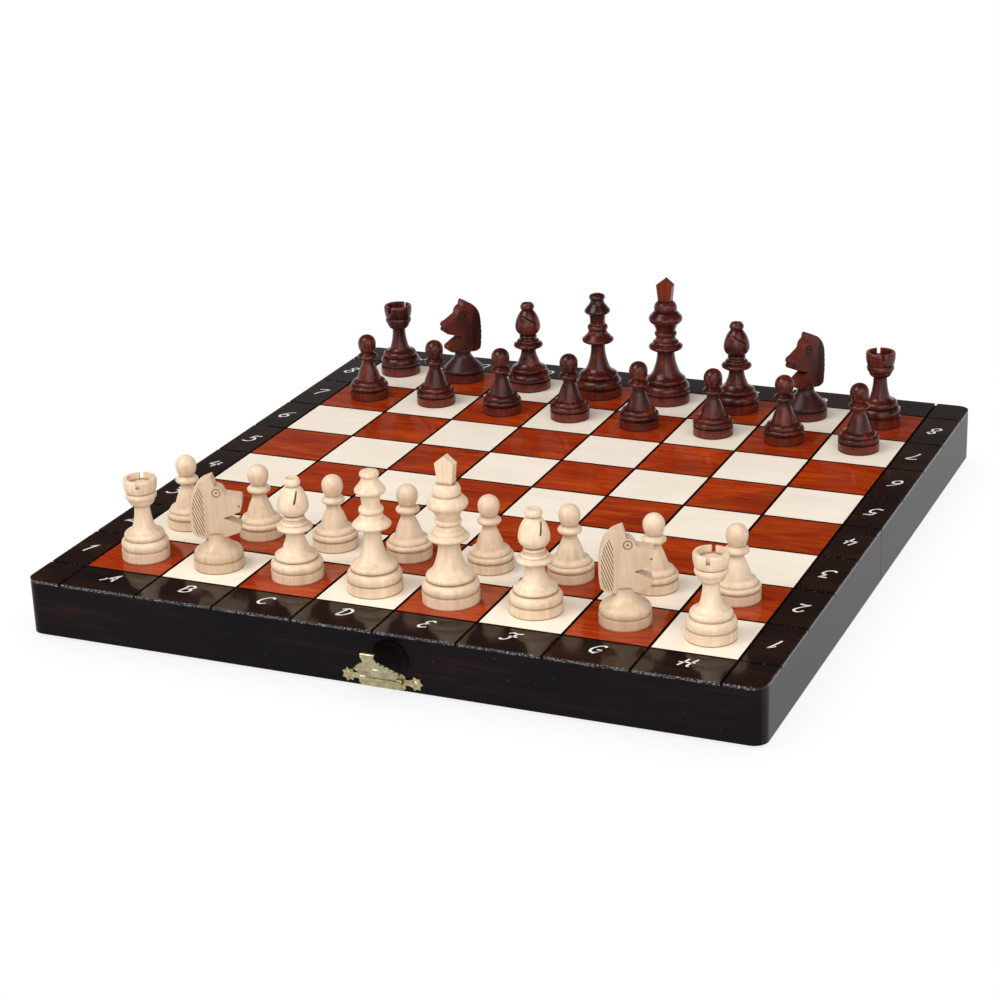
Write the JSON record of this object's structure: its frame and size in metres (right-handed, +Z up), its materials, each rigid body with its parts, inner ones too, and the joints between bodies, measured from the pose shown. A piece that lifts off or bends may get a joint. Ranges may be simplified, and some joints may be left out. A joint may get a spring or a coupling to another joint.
{
  "type": "folding chess board",
  "caption": "Folding wooden chess board case, open flat as a board, with hinged halves, a front clasp, a finger recess and loose turned chessmen set out for a game.",
  "frame": {"origin": "middle of the fold line, in the plane of the rims that stand on the table", "axes": "+X along the files from A to H, +Y from the front edge with the clasp to the back edge, +Z up"},
  "size_m": [0.268, 0.2865, 0.0729],
  "materials": {
    "case_wall": "black stained, satin varnish",
    "border_stain": "black stained, gloss varnish",
    "core_board": "dark stained core board",
    "dark_square": "mahogany veneer, gloss varnish",
    "light_square": "pale veneer, gloss varnish",
    "white_men": "clear varnished pale wood",
    "black_men": "mahogany stained, gloss varnish",
    "brass": "pale stamped brass"
  },
  "bodies": {
    "front_half": {"front_panel": "core_board", "front_outer_wall": "case_wall", "front_left_wall": "case_wall", "front_right_wall": "case_wall", "front_spine_wall": "case_wall", "front_dark_squares": "dark_square", "front_light_squares": "light_square", "front_border_cells": "border_stain", "front_hinge_leaves": "brass", "front_hinge_nails": "brass", "hinge_pins": "brass", "clasp_base": "brass", "clasp_nails": "brass", "clasp_pin": "brass"},
    "back_half": {"back_panel": "core_board", "back_outer_wall": "case_wall", "back_left_wall": "case_wall", "back_right_wall": "case_wall", "back_spine_wall": "case_wall", "back_dark_squares": "dark_square", "back_light_squares": "light_square", "back_border_cells": "border_stain", "back_hinge_leaves": "brass", "back_hinge_nails": "brass", "catch_plate": "brass", "catch_nails": "brass"},
    "clasp_tongue": {"clasp_tongue": "brass"},
    "white_rook_a": {"white_rook_a": "white_men"},
    "white_knight_b": {"white_knight_b": "white_men"},
    "white_bishop_c": {"white_bishop_c": "white_men"},
    "white_queen": {"white_queen": "white_men"},
    "white_king": {"white_king": "white_men"},
    "white_bishop_f": {"white_bishop_f": "white_men"},
    "white_knight_g": {"white_knight_g": "white_men"},
    "white_rook_h": {"white_rook_h": "white_men"},
    "white_pawn_a": {"white_pawn_a": "white_men"},
    "white_pawn_b": {"white_pawn_b": "white_men"},
    "white_pawn_c": {"white_pawn_c": "white_men"},
    "white_pawn_d": {"white_pawn_d": "white_men"},
    "white_pawn_e": {"white_pawn_e": "white_men"},
    "white_pawn_f": {"white_pawn_f": "white_men"},
    "white_pawn_g": {"white_pawn_g": "white_men"},
    "white_pawn_h": {"white_pawn_h": "white_men"},
    "black_rook_a": {"black_rook_a": "black_men"},
    "black_knight_b": {"black_knight_b": "black_men"},
    "black_bishop_c": {"black_bishop_c": "black_men"},
    "black_queen": {"black_queen": "black_men"},
    "black_king": {"black_king": "black_men"},
    "black_bishop_f": {"black_bishop_f": "black_men"},
    "black_knight_g": {"black_knight_g": "black_men"},
    "black_rook_h": {"black_rook_h": "black_men"},
    "black_pawn_a": {"black_pawn_a": "black_men"},
    "black_pawn_b": {"black_pawn_b": "black_men"},
    "black_pawn_c": {"black_pawn_c": "black_men"},
    "black_pawn_d": {"black_pawn_d": "black_men"},
    "black_pawn_e": {"black_pawn_e": "black_men"},
    "black_pawn_f": {"black_pawn_f": "black_men"},
    "black_pawn_g": {"black_pawn_g": "black_men"},
    "black_pawn_h": {"black_pawn_h": "black_men"}
  },
  "joints": [
    {"name": "fold", "type": "hinge", "parent": "front_half", "child": "back_half", "pos_m": [0, 0, 0], "axis": [-1, 0, 0], "range_deg": [0, 180]},
    {"name": "clasp_swing", "type": "hinge", "parent": "front_half", "child": "clasp_tongue", "pos_m": [0.0032, -0.1385, 0.0034], "axis": [1, 0, 0], "range_deg": [-30, 140]},
    {"name": "white_rook_a_lift", "type": "slide", "parent": "front_half", "child": "white_rook_a", "axis": [0, 0, 1], "range_m": [0, 0.07]},
    {"name": "white_knight_b_lift", "type": "slide", "parent": "front_half", "child": "white_knight_b", "axis": [0, 0, 1], "range_m": [0, 0.07]},
    {"name": "white_bishop_c_lift", "type": "slide", "parent": "front_half", "child": "white_bishop_c", "axis": [0, 0, 1], "range_m": [0, 0.07]},
    {"name": "white_queen_lift", "type": "slide", "parent": "front_half", "child": "white_queen", "axis": [0, 0, 1], "range_m": [0, 0.07]},
    {"name": "white_king_lift", "type": "slide", "parent": "front_half", "child": "white_king", "axis": [0, 0, 1], "range_m": [0, 0.07]},
    {"name": "white_bishop_f_lift", "type": "slide", "parent": "front_half", "child": "white_bishop_f", "axis": [0, 0, 1], "range_m": [0, 0.07]},
    {"name": "white_knight_g_lift", "type": "slide", "parent": "front_half", "child": "white_knight_g", "axis": [0, 0, 1], "range_m": [0, 0.07]},
    {"name": "white_rook_h_lift", "type": "slide", "parent": "front_half", "child": "white_rook_h", "axis": [0, 0, 1], "range_m": [0, 0.07]},
    {"name": "white_pawn_a_lift", "type": "slide", "parent": "front_half", "child": "white_pawn_a", "axis": [0, 0, 1], "range_m": [0, 0.07]},
    {"name": "white_pawn_b_lift", "type": "slide", "parent": "front_half", "child": "white_pawn_b", "axis": [0, 0, 1], "range_m": [0, 0.07]},
    {"name": "white_pawn_c_lift", "type": "slide", "parent": "front_half", "child": "white_pawn_c", "axis": [0, 0, 1], "range_m": [0, 0.07]},
    {"name": "white_pawn_d_lift", "type": "slide", "parent": "front_half", "child": "white_pawn_d", "axis": [0, 0, 1], "range_m": [0, 0.07]},
    {"name": "white_pawn_e_lift", "type": "slide", "parent": "front_half", "child": "white_pawn_e", "axis": [0, 0, 1], "range_m": [0, 0.07]},
    {"name": "white_pawn_f_lift", "type": "slide", "parent": "front_half", "child": "white_pawn_f", "axis": [0, 0, 1], "range_m": [0, 0.07]},
    {"name": "white_pawn_g_lift", "type": "slide", "parent": "front_half", "child": "white_pawn_g", "axis": [0, 0, 1], "range_m": [0, 0.07]},
    {"name": "white_pawn_h_lift", "type": "slide", "parent": "front_half", "child": "white_pawn_h", "axis": [0, 0, 1], "range_m": [0, 0.07]},
    {"name": "black_rook_a_lift", "type": "slide", "parent": "back_half", "child": "black_rook_a", "axis": [0, 0, 1], "range_m": [0, 0.07]},
    {"name": "black_knight_b_lift", "type": "slide", "parent": "back_half", "child": "black_knight_b", "axis": [0, 0, 1], "range_m": [0, 0.07]},
    {"name": "black_bishop_c_lift", "type": "slide", "parent": "back_half", "child": "black_bishop_c", "axis": [0, 0, 1], "range_m": [0, 0.07]},
    {"name": "black_queen_lift", "type": "slide", "parent": "back_half", "child": "black_queen", "axis": [0, 0, 1], "range_m": [0, 0.07]},
    {"name": "black_king_lift", "type": "slide", "parent": "back_half", "child": "black_king", "axis": [0, 0, 1], "range_m": [0, 0.07]},
    {"name": "black_bishop_f_lift", "type": "slide", "parent": "back_half", "child": "black_bishop_f", "axis": [0, 0, 1], "range_m": [0, 0.07]},
    {"name": "black_knight_g_lift", "type": "slide", "parent": "back_half", "child": "black_knight_g", "axis": [0, 0, 1], "range_m": [0, 0.07]},
    {"name": "black_rook_h_lift", "type": "slide", "parent": "back_half", "child": "black_rook_h", "axis": [0, 0, 1], "range_m": [0, 0.07]},
    {"name": "black_pawn_a_lift", "type": "slide", "parent": "back_half", "child": "black_pawn_a", "axis": [0, 0, 1], "range_m": [0, 0.07]},
    {"name": "black_pawn_b_lift", "type": "slide", "parent": "back_half", "child": "black_pawn_b", "axis": [0, 0, 1], "range_m": [0, 0.07]},
    {"name": "black_pawn_c_lift", "type": "slide", "parent": "back_half", "child": "black_pawn_c", "axis": [0, 0, 1], "range_m": [0, 0.07]},
    {"name": "black_pawn_d_lift", "type": "slide", "parent": "back_half", "child": "black_pawn_d", "axis": [0, 0, 1], "range_m": [0, 0.07]},
    {"name": "black_pawn_e_lift", "type": "slide", "parent": "back_half", "child": "black_pawn_e", "axis": [0, 0, 1], "range_m": [0, 0.07]},
    {"name": "black_pawn_f_lift", "type": "slide", "parent": "back_half", "child": "black_pawn_f", "axis": [0, 0, 1], "range_m": [0, 0.07]},
    {"name": "black_pawn_g_lift", "type": "slide", "parent": "back_half", "child": "black_pawn_g", "axis": [0, 0, 1], "range_m": [0, 0.07]},
    {"name": "black_pawn_h_lift", "type": "slide", "parent": "back_half", "child": "black_pawn_h", "axis": [0, 0, 1], "range_m": [0, 0.07]}
  ]
}
